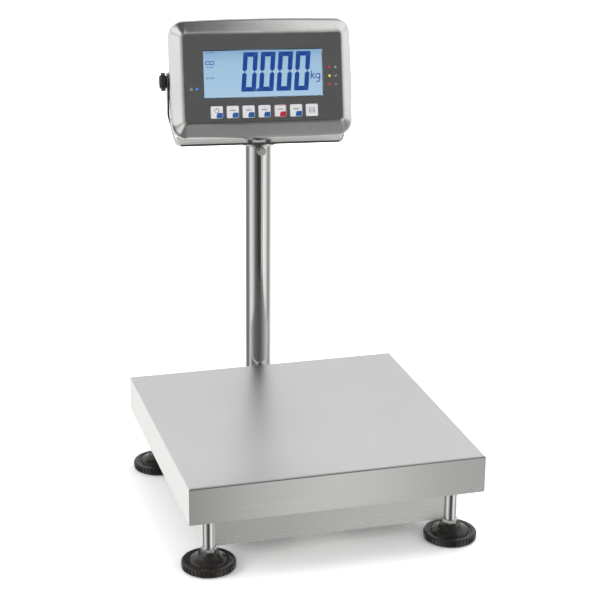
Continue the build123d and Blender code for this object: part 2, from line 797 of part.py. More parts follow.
with BuildPart() as rear_housing:
    with BuildSketch(face(-housing_back)):
        RectangleRounded(housing_width, housing_height, housing_corner)
    extrude(amount=housing_back + housing_front)
    fillet(rear_housing.faces().sort_by(Axis.Y)[-1].edges(), housing_rounding)
    with BuildSketch(face(housing_front - flange_lip_depth)):
        cover_outline(flange_lip)
    extrude(amount=flange_lip_depth)
    add(housing_hollow.part, mode=Mode.SUBTRACT)
    for side in (-1, 1):
        with BuildSketch(side_plane(side * boss_reach)):
            Circle(pivot_boss_radius)
        extrude(amount=-side * boss_length)
    with BuildSketch(face(housing_floor)):
        with GridLocations(2 * post_reach_x, 2 * post_reach_y, 2, 2):
            Circle(post_radius)
    extrude(amount=housing_front - housing_floor)
    with BuildSketch(face(-housing_back)):
        with GridLocations(2 * post_reach_x, 2 * post_reach_y, 2, 2):
            Circle(case_screw_radius + running)
        with Locations(*gland_places):
            Circle(gland_radius + running)
    extrude(amount=housing_back + housing_front, mode=Mode.SUBTRACT)
    for side in (-1, 1):
        bore_circle(pivot_radius + running, -side * boss_length, side_plane(side * boss_reach))
save(rear_housing, "rear_housing")

# Long screws that pull the two halves of the case together
with BuildPart() as housing_screws:
    with BuildSketch(face(-housing_back)):
        with GridLocations(2 * post_reach_x, 2 * post_reach_y, 2, 2):
            Circle(case_screw_head)
    extrude(amount=-case_screw_radius)
    with BuildSketch(face(-housing_back)):
        with GridLocations(2 * post_reach_x, 2 * post_reach_y, 2, 2):
            Circle(case_screw_radius)
    extrude(amount=case_screw_length)
save(housing_screws, "housing_screws")

# Cable glands: in the back of the head, and in the rear of the base frame
with BuildPart() as display_glands:
    for x, y in gland_places:
        spot = face(-housing_back)
        with BuildSketch(spot):
            with Locations((x, y)):
                RegularPolygon(gland_across_flats / 2, 6, major_radius=False)
        extrude(amount=-gland_length / 3)
        with BuildSketch(spot.offset(-gland_length / 3)):
            with Locations((x, y)):
                Circle(gland_radius)
        extrude(amount=-gland_length * 2 / 3, taper=gland_taper)
        with BuildSketch(spot):
            with Locations((x, y)):
                Circle(gland_radius)
        extrude(amount=housing_wall)
        with BuildSketch(spot.offset(-gland_length)):
            with Locations((x, y)):
                Circle(gland_hole)
        extrude(amount=gland_length + housing_wall, mode=Mode.SUBTRACT)
save(display_glands, "display_glands")

# Front panel film with its window and key openings
with BuildPart() as front_overlay:
    with BuildSketch(face(panel_back)):
        RectangleRounded(panel_width, panel_height, panel_corner)
        with Locations((0, window_rise)):
            Rectangle(window_width, window_height, mode=Mode.SUBTRACT)
        with Locations(*key_centres()):
            Rectangle(key_size + 2 * slack, key_size + 2 * slack, mode=Mode.SUBTRACT)
        with Locations(*lamp_centres()):
            Circle(lamp_radius + running, mode=Mode.SUBTRACT)
    extrude(amount=overlay_thickness)
save(front_overlay, "front_overlay")

# Clear window, flush with the film, on the ledge round the cover's opening
with BuildPart() as display_window:
    with BuildSketch(face(panel_back)):
        with Locations((0, window_rise)):
            Rectangle(window_width - slack, window_height - slack)
    extrude(amount=overlay_thickness)
save(display_window, "display_window")

# Digit module behind the window, and the board that carries it
module_front = panel_back - cover_wall
module_back = module_front - module_depth
with BuildPart() as display_module:
    with BuildSketch(face(module_back)):
        with Locations((0, window_rise)):
            Rectangle(window_width + 2 * window_ledge, window_height + window_ledge)
    extrude(amount=module_depth)
save(display_module, "display_module")

with BuildPart() as main_board:
    with BuildSketch(face(module_back - board_thickness)):
        with Locations((0, window_rise)):
            Rectangle(window_width + 2 * window_ledge, window_height + window_ledge)
    extrude(amount=board_thickness)
    with BuildSketch(face(module_back - board_thickness)):
        with Locations((window_width / 4, 0), (-window_width / 4, window_rise)):
            Rectangle(window_width / 5, window_height / 3)
    extrude(amount=-2 * board_thickness)
save(main_board, "main_board")

# Key board: a strip with a dome under each key and a lip that seats on the cover
key_bottom = module_front + key_travel
board_front = module_front - key_lip
board_length = key_count * key_pitch
board_width = key_size + 2 * key_board_margin
with BuildPart() as key_board:
    with BuildSketch(face(board_front - board_thickness)):
        with Locations((0, key_row)):
            Rectangle(board_length, board_width)
    extrude(amount=board_thickness + key_lip)
    with BuildSketch(face(board_front)):
        with Locations((0, key_row)):
            Rectangle(board_length - 2 * key_board_lip, board_width - 2 * key_board_lip)
    extrude(amount=key_lip, mode=Mode.SUBTRACT)
    with BuildSketch(face(board_front)):
        with Locations(*key_centres()):
            Circle(key_size / 4)
    extrude(amount=key_lip)
save(key_board, "key_board")

# Keys, each in its own opening
for number, (x, y) in enumerate(key_centres(), start=1):
    with BuildPart() as key_cap:
        with BuildSketch(face(key_bottom)):
            with Locations((x, y)):
                RectangleRounded(key_size, key_size, key_size / 10)
        extrude(amount=panel_forward + key_proud - key_bottom)
    save(key_cap, f"key_{number}")

# Status lamps: three on the right, one on the left
with BuildPart() as status_lamps:
    with BuildSketch(face(module_front)):
        with Locations(*lamp_centres()):
            Circle(lamp_radius)
    extrude(amount=cover_wall + overlay_thickness)
    with BuildSketch(face(module_front)):
        with Locations(*lamp_centres()):
            Circle(lamp_flange)
    extrude(amount=-lamp_radius)
save(status_lamps, "status_lamps")

# Battery pack on the housing's back wall
with BuildPart() as battery_pack:
    with BuildSketch(face(housing_floor)):
        RectangleRounded(battery_width, battery_height, housing_wall)
    extrude(amount=battery_depth)
save(battery_pack, "battery_pack")

# Washers between the housing's bosses and the bracket's arms
with BuildPart() as pivot_washers:
    for side in (-1, 1):
        with BuildSketch(side_plane(side * boss_reach)):
            Circle(pivot_boss_radius)
            Circle(pivot_radius + slack, mode=Mode.SUBTRACT)
        extrude(amount=side * washer_thickness)
save(pivot_washers, "pivot_washers")

# Clamp knob on the left: a lobed head on a low collar, with a stud into the housing's boss
left_arm_face = side_plane(-(half_span + slack))
with BuildPart() as knob_left:
    disc(knob_collar_radius, -knob_collar, left_arm_face)
    with BuildSketch(left_arm_face.offset(-knob_collar)):
        Circle(knob_radius - knob_lobe_radius / 2)
        with PolarLocations(knob_radius - knob_lobe_radius, knob_lobes):
            Circle(knob_lobe_radius)
    extrude(amount=knob_bevel - knob_height)
    with BuildSketch(left_arm_face.offset(knob_bevel - knob_height - knob_collar)):
        Circle(knob_radius - knob_lobe_radius)
    extrude(amount=-knob_bevel, taper=knob_taper)
    disc(pivot_radius, stud_reach, left_arm_face)
save(knob_left, "knob_left")

# Pivot screw on the right: a low round head and a shank into the other boss
right_arm_face = side_plane(half_span + slack)
with BuildPart() as pivot_screw:
    disc(screw_head_radius, screw_head_height, right_arm_face)
    head_rim = pivot_screw.edges().sort_by(Axis(right_arm_face.origin, head_x))[-1]
    chamfer(head_rim, screw_head_height / 3)
    disc(pivot_radius, -stud_reach, right_arm_face)
save(pivot_screw, "pivot_screw")

# Cable gland in the rear channel of the base frame
with BuildPart() as frame_gland:
    hexagon(gland_across_flats, gland_length / 4, gland_plane)
    disc(gland_radius, -channel_wall, gland_plane)
    bore_circle(gland_hole, gland_length / 4, gland_plane)
    bore_circle(gland_hole, -channel_wall, gland_plane)
save(frame_gland, "frame_gland")
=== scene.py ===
import json
from math import cos, pi, radians, sin

import bmesh
import bpy
from mathutils import Matrix, Vector


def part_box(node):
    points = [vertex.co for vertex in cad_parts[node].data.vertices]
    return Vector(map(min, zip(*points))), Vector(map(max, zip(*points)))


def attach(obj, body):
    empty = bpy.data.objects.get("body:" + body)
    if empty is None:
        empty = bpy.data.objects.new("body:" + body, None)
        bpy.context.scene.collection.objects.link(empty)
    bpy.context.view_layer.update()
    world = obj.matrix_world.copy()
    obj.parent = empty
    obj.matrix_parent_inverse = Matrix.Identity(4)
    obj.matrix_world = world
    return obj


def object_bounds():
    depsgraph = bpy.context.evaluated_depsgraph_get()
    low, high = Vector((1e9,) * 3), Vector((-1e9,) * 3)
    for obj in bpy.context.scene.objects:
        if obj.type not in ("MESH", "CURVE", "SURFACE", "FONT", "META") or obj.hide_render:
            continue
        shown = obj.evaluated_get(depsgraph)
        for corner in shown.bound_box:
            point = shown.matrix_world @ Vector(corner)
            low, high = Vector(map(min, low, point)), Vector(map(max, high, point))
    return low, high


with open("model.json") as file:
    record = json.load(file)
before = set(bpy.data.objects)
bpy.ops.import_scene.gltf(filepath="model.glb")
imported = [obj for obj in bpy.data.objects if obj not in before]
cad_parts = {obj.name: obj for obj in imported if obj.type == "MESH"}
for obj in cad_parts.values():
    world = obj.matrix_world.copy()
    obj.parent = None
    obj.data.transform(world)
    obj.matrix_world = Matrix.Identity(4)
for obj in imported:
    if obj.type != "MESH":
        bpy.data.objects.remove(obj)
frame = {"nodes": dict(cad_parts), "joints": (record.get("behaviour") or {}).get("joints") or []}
cad_low, cad_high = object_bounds()
nodes = frame["nodes"]
joints = {joint["name"]: joint for joint in frame["joints"]}

# Camera
# A long lens in front of the scale, a little to its left and about a pan's width above its top,
# looking down at the pan.
camera_place = Vector((-0.6243, -2.2264, 1.0784))
camera_turn, camera_drop, camera_roll = radians(-15.98), radians(18.97), radians(0.473)
camera_data = bpy.data.cameras.new("photo_camera")
camera_data.sensor_width = 36.0
camera_data.lens = 105.99
camera_data.clip_start, camera_data.clip_end = 0.05, 60.0
camera = bpy.data.objects.new("photo_camera", camera_data)
bpy.context.scene.collection.objects.link(camera)
back = Vector((sin(camera_turn) * cos(camera_drop), -cos(camera_turn) * cos(camera_drop),
               sin(camera_drop)))
level_right = Vector((cos(camera_turn), sin(camera_turn), 0.0))
level_up = back.cross(level_right)
right = level_right * cos(camera_roll) + level_up * sin(camera_roll)
above = level_up * cos(camera_roll) - level_right * sin(camera_roll)
camera_axes = Matrix((right, above, back)).transposed().to_4x4()
camera.matrix_world = Matrix.Translation(camera_place) @ camera_axes
bpy.context.scene.camera = camera
bpy.context.scene.view_settings.view_transform = "Standard"

# Studio
# A white sweep of paper under and round the scale, a broad soft lamp overhead to the right, a
# second one to the left, and dark flags in front, which give round steel its stripes.
paper_size, paper_drop = 12.0, 0.0004
paper_white, paper_seen_white = (0.97, 0.97, 0.97, 1.0), (1.85, 1.85, 1.85, 1.0)
pool_radius, pool_fade = 0.62, 0.5
room_grey, backdrop_white = (0.62, 0.62, 0.62, 1.0), (1.0, 1.0, 1.0, 1.0)


def feed(tree, node, inputs):
    """Gives a node's inputs their values, or joins them to other nodes' outputs."""
    for name, given in inputs.items():
        if isinstance(given, bpy.types.NodeSocket):
            tree.links.new(given, node.inputs[name])
        else:
            node.inputs[name].default_value = given


def add_node(tree, kind, inputs=None, **settings):
    """Adds a shader node with its settings and its inputs."""
    node = tree.nodes.new(f"ShaderNode{kind}")
    for name, setting in settings.items():
        setattr(node, name, setting)
    feed(tree, node, inputs or {})
    return node


paper_data = bpy.data.meshes.new("paper_floor")
paper_mesh = bmesh.new()
bmesh.ops.create_grid(paper_mesh, x_segments=2, y_segments=2, size=paper_size)
paper_mesh.to_mesh(paper_data)
paper_mesh.free()
paper_floor = bpy.data.objects.new("paper_floor", paper_data)
bpy.context.scene.collection.objects.link(paper_floor)
paper_floor.location.z = cad_low.z - paper_drop

# The paper is lit and shaded near the scale, and plain white beyond the pool round it. Steel
# doesn't see the paper but the studio's flags, which are in the world.
paper = bpy.data.materials.new("white_paper")
paper.use_nodes = True
tree = paper.node_tree
tree.nodes.clear()
paper_ray = add_node(tree, "LightPath")
paper_tone = add_node(tree, "Mix", {
    "Factor": paper_ray.outputs["Is Camera Ray"], "A": paper_white, "B": paper_seen_white},
    data_type="RGBA")
paper_lit = add_node(tree, "BsdfDiffuse", {"Color": paper_tone.outputs["Result"]})
paper_where = add_node(tree, "NewGeometry")
paper_reach = add_node(tree, "VectorMath", {0: paper_where.outputs["Position"]},
                       operation="LENGTH")
paper_edge = add_node(tree, "MapRange", {
    "Value": paper_reach.outputs["Value"], "From Min": pool_radius,
    "From Max": pool_radius + pool_fade}, interpolation_type="SMOOTHSTEP")
paper_seen = add_node(tree, "Math", {
    0: paper_edge.outputs["Result"], 1: paper_ray.outputs["Is Camera Ray"]}, operation="MULTIPLY")
paper_glow = add_node(tree, "Emission", {"Strength": paper_seen.outputs["Value"]})
paper_sum = add_node(tree, "AddShader", {
    0: paper_lit.outputs["BSDF"], 1: paper_glow.outputs["Emission"]})
paper_clear = add_node(tree, "BsdfTransparent")
paper_open = add_node(tree, "MixShader", {
    "Fac": paper_ray.outputs["Is Glossy Ray"], 1: paper_sum.outputs["Shader"],
    2: paper_clear.outputs["BSDF"]})
add_node(tree, "OutputMaterial", {"Surface": paper_open.outputs["Shader"]})
paper_data.materials.append(paper)

sky = bpy.data.worlds.new("studio")
bpy.context.scene.world = sky
sky.use_nodes = True
sky_tree = sky.node_tree
sky_tree.nodes.clear()
sky_way = add_node(sky_tree, "TexCoord")
sky_parts = add_node(sky_tree, "SeparateXYZ", {"Vector": sky_way.outputs["Generated"]})
sky_front = add_node(sky_tree, "Math", {0: sky_parts.outputs["Y"], 1: -1.0}, operation="MULTIPLY")
sky_turn = add_node(sky_tree, "Math", {
    0: sky_parts.outputs["X"], 1: sky_front.outputs["Value"]}, operation="ARCTAN2")
sky_share = add_node(sky_tree, "MapRange", {
    "Value": sky_turn.outputs["Value"], "From Min": -pi, "From Max": pi})


def flag_ring(tones):
    """A ring round the scale: pairs of a bearing, in degrees from front to right, and a grey."""
    ramp = add_node(sky_tree, "ValToRGB", {"Fac": sky_share.outputs["Result"]})
    ramp.color_ramp.interpolation = "EASE"
    stops = ramp.color_ramp.elements
    while len(stops) > 1:
        stops.remove(stops[-1])
    for i, (bearing, tone) in enumerate(tones):
        position = (bearing + 180) / 360
        stop = stops[0] if i == 0 else stops.new(position)
        stop.position = position
        stop.color = (tone, tone, tone * 0.985, 1.0)
    return ramp.outputs["Color"]


def blend_along(axis, start, end, below, beyond):
    """Changes smoothly from one colour to another between two heights, or two places."""
    share = add_node(sky_tree, "MapRange", {
        "Value": sky_parts.outputs[axis], "From Min": start, "From Max": end},
        interpolation_type="SMOOTHSTEP")
    blend = add_node(sky_tree, "Mix", {
        "Factor": share.outputs["Result"], "A": below, "B": beyond}, data_type="RGBA")
    return blend.outputs["Result"]


low_ring = flag_ring([
    (-180, 1.0), (-160, 1.0), (-140, 0.2), (-112, 0.2), (-80, 1.0), (-57, 0.6), (-38, 0.15),
    (-15, 0.04), (8, 0.04), (18, 0.85), (22, 0.3), (34, 1.2), (52, 0.95), (84, 0.28), (125, 0.8),
    (180, 0.95)])
level_ring = flag_ring([
    (-180, 0.9), (-130, 0.95), (-95, 0.95), (-68, 0.35), (-40, 0.1), (-10, 0.05), (15, 0.1),
    (45, 0.7), (85, 0.95), (140, 0.9), (180, 0.9)])
high_ring = flag_ring([
    (-180, 0.45), (-120, 0.7), (-80, 0.55), (-45, 0.15), (0, 0.06), (28, 0.25), (60, 0.7),
    (120, 0.75), (160, 0.45), (180, 0.45)])
flag_black = (0.1, 0.1, 0.1, 1.0)
roof_white, roof_strip = (0.98, 0.985, 0.98, 1.0), (0.93, 0.94, 0.93, 1.0)
floor_flag, floor_strip = (0.16, 0.16, 0.16, 1.0), (0.95, 0.95, 0.94, 1.0)
floor_edge = (0.28, 0.28, 0.28, 1.0)
crossing = blend_along("X", 0.055, 0.1, floor_flag, floor_strip)
crossing = blend_along("X", 0.115, 0.18, crossing, floor_edge)
zenith = blend_along("X", 0.12, 0.2, flag_black, roof_strip)
zenith = blend_along("Y", -0.15, 0.1, crossing, zenith)
upper = blend_along("Y", -0.3, 0.05, high_ring, roof_white)
upper = blend_along("Z", 0.76, 0.88, upper, zenith)
rear_upper = blend_along("Z", 0.6, 0.72, roof_white, flag_black)
upper = blend_along("Y", 0.38, 0.5, upper, rear_upper)
sky_gloss = blend_along("Z", -0.9, -0.75, crossing, low_ring)
sky_gloss = blend_along("Z", -0.25, -0.08, sky_gloss, level_ring)
sky_gloss = blend_along("Z", 0.08, 0.27, sky_gloss, high_ring)
sky_gloss = blend_along("Z", 0.28, 0.42, sky_gloss, upper)

sky_ray = add_node(sky_tree, "LightPath")
sky_shine = add_node(sky_tree, "Math", {
    0: sky_ray.outputs["Is Glossy Ray"], 1: sky_ray.outputs["Is Transmission Ray"]},
    operation="MAXIMUM")
sky_light = add_node(sky_tree, "Mix", {
    "Factor": sky_shine.outputs["Value"], "A": room_grey, "B": sky_gloss}, data_type="RGBA")
sky_shown = add_node(sky_tree, "Mix", {
    "Factor": sky_ray.outputs["Is Camera Ray"], "A": sky_light.outputs["Result"],
    "B": backdrop_white}, data_type="RGBA")
sky_glow = add_node(sky_tree, "Background", {"Color": sky_shown.outputs["Result"]})
add_node(sky_tree, "OutputWorld", {"Surface": sky_glow.outputs["Background"]})

for lamp_name, place, aim, size, power in (
    ("overhead_lamp", (0.5, 0.2, 2.0), (0.0, 0.0, 0.1), 1.2, 11.0),
    ("left_lamp", (-1.9, -0.3, 1.1), (0.0, 0.0, 0.3), 1.0, 7.0),
):
    lamp_data = bpy.data.lights.new(lamp_name, "AREA")
    lamp_data.shape = "DISK"
    lamp_data.size = size
    lamp_data.energy = power
    lamp = bpy.data.objects.new(lamp_name, lamp_data)
    bpy.context.scene.collection.objects.link(lamp)
    lamp.location = place
    lamp.rotation_euler = (Vector(aim) - Vector(place)).to_track_quat("-Z", "Y").to_euler()
    lamp.visible_glossy = False

# Foot pads
# Each foot is a black glass-filled nylon moulding with a ribbed rim to grip, a raised ridge and a
# hub. It is moulded round the head of its stud.
corner_names = ("front_left", "front_right", "rear_left", "rear_right")
nylon_black, nylon_pale = (0.026, 0.023, 0.021, 1.0), (0.05, 0.045, 0.042, 1.0)
grain_relief = 0.0004


def shared_effect(name, takes, gives):
    """A node group for several materials. Gives its tree and its input and output nodes."""
    effect = bpy.data.node_groups.new(name, "ShaderNodeTree")
    for title, value in takes.items():
        kind = "Float" if isinstance(value, float) else {3: "Vector", 4: "Color"}[len(value)]
        taken = effect.interface.new_socket(
            name=title, in_out="INPUT", socket_type=f"NodeSocket{kind}")
        taken.default_value = value
    for title in gives:
        kind = "Color" if title == "Colour" else "Float"
        effect.interface.new_socket(
            name=title, in_out="OUTPUT", socket_type=f"NodeSocket{kind}")
    return effect, effect.nodes.new("NodeGroupInput"), effect.nodes.new("NodeGroupOutput")


def place_effect(material, effect, **values):
    """Places a shared effect in a material and sets its named inputs."""
    placed = material.node_tree.nodes.new("ShaderNodeGroup")
    placed.node_tree = effect
    for name, value in values.items():
        placed.inputs[name.replace("_", " ").capitalize()].default_value = value
    return placed


def finish(name, colour, metallic=0.0, roughness=0.5):
    """A new material with a Principled BSDF. Gives the material, its tree and the shader."""
    material = bpy.data.materials.new(name)
    material.use_nodes = True
    shader = material.node_tree.nodes["Principled BSDF"]
    feed(material.node_tree, shader, {
        "Base Color": colour, "Metallic": metallic, "Roughness": roughness})
    return material, material.node_tree, shader


def lay_on(material, effect, depth=0.0, relief=0.0, **values):
    """Gives a material a shared effect's colour and roughness, and its fine marks as a bump."""
    tree, shader = material.node_tree, material.node_tree.nodes["Principled BSDF"]
    placed = place_effect(material, effect, **values)
    feed(tree, shader, {
        "Base Color": placed.outputs["Colour"], "Roughness": placed.outputs["Roughness"]})
    if depth:
        bump = add_node(tree, "Bump", {
            "Strength": depth, "Distance": relief, "Height": placed.outputs["Height"]})
        feed(tree, shader, {"Normal": bump.outputs["Normal"]})


def wear(node_names, material):
    """Gives CAD nodes a material."""
    for node_name in node_names:
        mesh = nodes[node_name].data
        mesh.materials.clear()
        mesh.materials.append(material)


moulding, moulding_in, moulding_out = shared_effect("moulded_surface", {
    "Colour": (0.5, 0.5, 0.5, 1.0), "Pale colour": (0.6, 0.6, 0.6, 1.0), "Grain size": 900.0,
    "Shine low": 0.35, "Shine high": 0.5}, ("Colour", "Roughness", "Height"))
moulding_place = add_node(moulding, "TexCoord")
moulding_grain = add_node(moulding, "TexNoise", {
    "Vector": moulding_place.outputs["Object"], "Scale": moulding_in.outputs["Grain size"],
    "Detail": 2.0})
moulding_patch = add_node(moulding, "TexNoise", {
    "Vector": moulding_place.outputs["Object"], "Scale": 38.0, "Detail": 5.0})
moulding_tone = add_node(moulding, "MapRange", {
    "Value": moulding_patch.outputs["Fac"], "From Min": 0.35, "From Max": 0.75})
moulding_mix = add_node(moulding, "Mix", {
    "Factor": moulding_tone.outputs["Result"], "A": moulding_in.outputs["Colour"],
    "B": moulding_in.outputs["Pale colour"]}, data_type="RGBA")
moulding_shine = add_node(moulding, "MapRange", {
    "Value": moulding_patch.outputs["Fac"], "To Min": moulding_in.outputs["Shine low"],
    "To Max": moulding_in.outputs["Shine high"]})
feed(moulding, moulding_out, {
    "Colour": moulding_mix.outputs["Result"], "Roughness": moulding_shine.outputs["Result"],
    "Height": moulding_grain.outputs["Fac"]})


def moulded(name, colour, pale, grain=900.0, low=0.35, high=0.5, depth=0.06):
    """A moulded plastic or rubber finish with a fine grain."""
    material = finish(name, colour)[0]
    lay_on(material, moulding, depth, grain_relief, colour=colour, pale_colour=pale,
           grain_size=grain, shine_low=low, shine_high=high)
    return material


black_nylon = moulded("black_nylon", nylon_black, nylon_pale, low=0.2, high=0.3, depth=0.04)
wear([f"foot_pad_{corner}" for corner in corner_names], black_nylon)

# Foot studs and lock nuts
# A zinc-plated steel stud screws up into the frame from each pad, and a plated hexagon nut is
# turned up against the frame's bushing to lock it.
plate_bright = (0.80, 0.80, 0.79, 1.0)
thread_pitch, thread_relief = 0.00175, 0.0008
wave_scale = 0.314  # a wave texture's scale for one band to the metre

plating, plating_in, plating_out = shared_effect("plated_surface", {
    "Colour": (0.8, 0.8, 0.8, 1.0), "Dull colour": (0.6, 0.6, 0.6, 1.0), "Patch size": 120.0,
    "Shine low": 0.12, "Shine high": 0.3}, ("Colour", "Roughness"))
plating_place = add_node(plating, "TexCoord")
plating_patch = add_node(plating, "TexNoise", {
    "Vector": plating_place.outputs["Object"], "Scale": plating_in.outputs["Patch size"],
    "Detail": 6.0})
plating_tone = add_node(plating, "MapRange", {
    "Value": plating_patch.outputs["Fac"], "From Min": 0.4, "From Max": 0.7})
plating_mix = add_node(plating, "Mix", {
    "Factor": plating_tone.outputs["Result"], "A": plating_in.outputs["Colour"],
    "B": plating_in.outputs["Dull colour"]}, data_type="RGBA")
plating_shine = add_node(plating, "MapRange", {
    "Value": plating_patch.outputs["Fac"], "To Min": plating_in.outputs["Shine low"],
    "To Max": plating_in.outputs["Shine high"]})
feed(plating, plating_out, {
    "Colour": plating_mix.outputs["Result"], "Roughness": plating_shine.outputs["Result"]})


def plated(name, colour, dull, low=0.12, high=0.3, patch=120.0):
    """A bright plated or polished metal finish with slightly duller patches."""
    material = finish(name, colour, metallic=1.0, roughness=low)[0]
    lay_on(material, plating, colour=colour, dull_colour=dull, patch_size=patch, shine_low=low,
           shine_high=high)
    return material


bright_plate = plated("bright_plate", plate_bright, (0.62, 0.62, 0.60, 1.0))
wear(["lock_nuts"], bright_plate)

threaded_plate = plated("threaded_plate", plate_bright, (0.58, 0.58, 0.57, 1.0),
                        low=0.18, high=0.32)
tree = threaded_plate.node_tree
thread_place = add_node(tree, "TexCoord")
thread_wave = add_node(tree, "TexWave", {
    "Vector": thread_place.outputs["Object"], "Scale": wave_scale / thread_pitch},
    wave_type="BANDS", bands_direction="Z")
thread_bump = add_node(tree, "Bump", {
    "Strength": 0.7, "Distance": thread_relief, "Height": thread_wave.outputs["Fac"]})
feed(tree, tree.nodes["Principled BSDF"], {"Normal": thread_bump.outputs["Normal"]})
wear([f"foot_stud_{corner}" for corner in corner_names], threaded_plate)

# Base frame
# Folded stainless channels are welded into a square with corner gussets, a round post for each
# foot, and a beam from front to rear that takes the load cell. It is brushed to a smooth satin.
frame_light, frame_dark = (0.82, 0.82, 0.81, 1.0), (0.78, 0.78, 0.77, 1.0)
brush_relief = 0.0002

brushing, brushing_in, brushing_out = shared_effect("brushed_steel", {
    "Colour": (0.7, 0.7, 0.7, 1.0), "Dark colour": (0.6, 0.6, 0.6, 1.0),
    "Stretch": (8.0, 700.0, 700.0), "Shine low": 0.3, "Shine high": 0.42},
    ("Colour", "Roughness", "Height"))
brushing_place = add_node(brushing, "TexCoord")
brushing_pull = add_node(brushing, "VectorMath", {
    0: brushing_place.outputs["Object"], 1: brushing_in.outputs["Stretch"]}, operation="MULTIPLY")
brushing_hair = add_node(brushing, "TexNoise", {
    "Vector": brushing_pull.outputs["Vector"], "Scale": 1.0, "Detail": 3.0})
brushing_patch = add_node(brushing, "TexNoise", {
    "Vector": brushing_place.outputs["Object"], "Scale": 9.0, "Detail": 4.0})
brushing_blend = add_node(brushing, "Mix", {
    "Factor": 0.35, "A": brushing_hair.outputs["Fac"], "B": brushing_patch.outputs["Fac"]})
brushing_tone = add_node(brushing, "MapRange", {
    "Value": brushing_blend.outputs["Result"], "From Min": 0.3, "From Max": 0.7})
brushing_mix = add_node(brushing, "Mix", {
    "Factor": brushing_tone.outputs["Result"], "A": brushing_in.outputs["Dark colour"],
    "B": brushing_in.outputs["Colour"]}, data_type="RGBA")
brushing_shine = add_node(brushing, "MapRange", {
    "Value": brushing_tone.outputs["Result"], "To Min": brushing_in.outputs["Shine high"],
    "To Max": brushing_in.outputs["Shine low"]})
feed(brushing, brushing_out, {
    "Colour": brushing_mix.outputs["Result"], "Roughness": brushing_shine.outputs["Result"],
    "Height": brushing_hair.outputs["Fac"]})


def brushed(name, colour, dark, stretch, low, high, depth=0.05):
    """A brushed finish; the stretch is small along the brush marks and large across them."""
    material = finish(name, colour, metallic=1.0, roughness=low)[0]
    lay_on(material, brushing, depth, brush_relief, colour=colour, dark_colour=dark,
           stretch=stretch, shine_low=low, shine_high=high)
    return material


frame_satin = brushed("frame_satin", frame_light, frame_dark, (6.0, 6.0, 700.0),
                      low=0.24, high=0.3, depth=0.015)
wear(["front_channel", "rear_channel", "left_channel", "right_channel", "corner_gussets",
      "cell_beam", "column_bracket"], frame_satin)

# Load cell with its spacers and bolts
# A block of anodised aluminium bends between its two ends. Four zinc-plated bolts clamp it,
# through steel spacers, to the beam below and the load cross above.
cell_anodised = brushed("cell_anodised", (0.70, 0.70, 0.71, 1.0), (0.62, 0.62, 0.63, 1.0),
                        (500.0, 14.0, 500.0), low=0.34, high=0.46)
wear(["load_cell"], cell_anodised)
spacer_steel = brushed("spacer_steel", (0.60, 0.60, 0.60, 1.0), (0.52, 0.52, 0.52, 1.0),
                       (30.0, 500.0, 500.0), low=0.32, high=0.45)
wear(["lower_spacer", "upper_spacer"], spacer_steel)
cell_bolt_plate = plated("cell_bolt_plate", (0.72, 0.72, 0.73, 1.0), (0.55, 0.55, 0.54, 1.0),
                         low=0.2, high=0.36)
wear(["load_cell_bolts"], cell_bolt_plate)

# Load cross, overload stops and bumpers
# Two crossed steel channels carry the pan on four black rubber bumpers. A plated screw stands
# under each arm as a stop, so that the load cell can't be bent too far.
cross_satin = brushed("cross_satin", (0.58, 0.58, 0.58, 1.0), (0.5, 0.5, 0.5, 1.0),
                      (240.0, 240.0, 240.0), low=0.4, high=0.52, depth=0.08)
wear(["load_spider"], cross_satin)
stop_plate = plated("stop_plate", (0.74, 0.72, 0.66, 1.0), (0.6, 0.58, 0.52, 1.0),
                    low=0.2, high=0.36)
wear(["overload_stops"], stop_plate)
bumper_rubber = moulded("bumper_rubber", (0.02, 0.02, 0.02, 1.0), (0.04, 0.04, 0.04, 1.0),
                        grain=600.0, low=0.6, high=0.8, depth=0.12)
wear(["pan_bumpers"], bumper_rubber)

# Bubble level
# A round grey plastic cup screwed to the front channel holds a capsule of green liquid with a
# bubble under its lens and a black ring printed round it.
bubble_radius, ring_radius, ring_width = 0.0032, 0.0045, 0.0005
liquid_span = 0.01
bubble_pale, ring_black = (0.72, 0.86, 0.42, 1.0), (0.02, 0.03, 0.01, 1.0)
liquid_green, rim_green = (0.38, 0.6, 0.05, 1.0), (0.4, 0.63, 0.06, 1.0)
level_low, level_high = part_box("level_vial")
level_centre = (level_low + level_high) / 2
level_grey = moulded("level_grey", (0.45, 0.45, 0.43, 1.0), (0.5, 0.5, 0.48, 1.0))
wear(["level_body"], level_grey)

level_liquid, tree, shader = finish("level_liquid", (0.45, 0.68, 0.06, 1.0), roughness=0.08)
liquid_place = add_node(tree, "TexCoord")
liquid_shift = add_node(tree, "VectorMath", {
    0: liquid_place.outputs["Object"], 1: level_centre}, operation="SUBTRACT")
liquid_flat = add_node(tree, "VectorMath", {
    0: liquid_shift.outputs["Vector"], 1: (1.0, 1.0, 0.0)}, operation="MULTIPLY")
liquid_reach = add_node(tree, "VectorMath", {0: liquid_flat.outputs["Vector"]},
                        operation="LENGTH")
liquid_share = add_node(tree, "Math", {
    0: liquid_reach.outputs["Value"], 1: 1 / liquid_span}, operation="MULTIPLY")
liquid_ramp = add_node(tree, "ValToRGB", {"Fac": liquid_share.outputs["Value"]})
liquid_ramp.color_ramp.interpolation = "CONSTANT"
liquid_stops = liquid_ramp.color_ramp.elements
liquid_stops[0].color = bubble_pale
liquid_stops[1].position = bubble_radius / liquid_span
liquid_stops[1].color = liquid_green
for reach, colour in ((ring_radius, ring_black), (ring_radius + ring_width, rim_green)):
    liquid_stops.new(reach / liquid_span).color = colour
feed(tree, shader, {"Base Color": liquid_ramp.outputs["Color"], "Coat Weight": 0.6})
wear(["level_vial"], level_liquid)

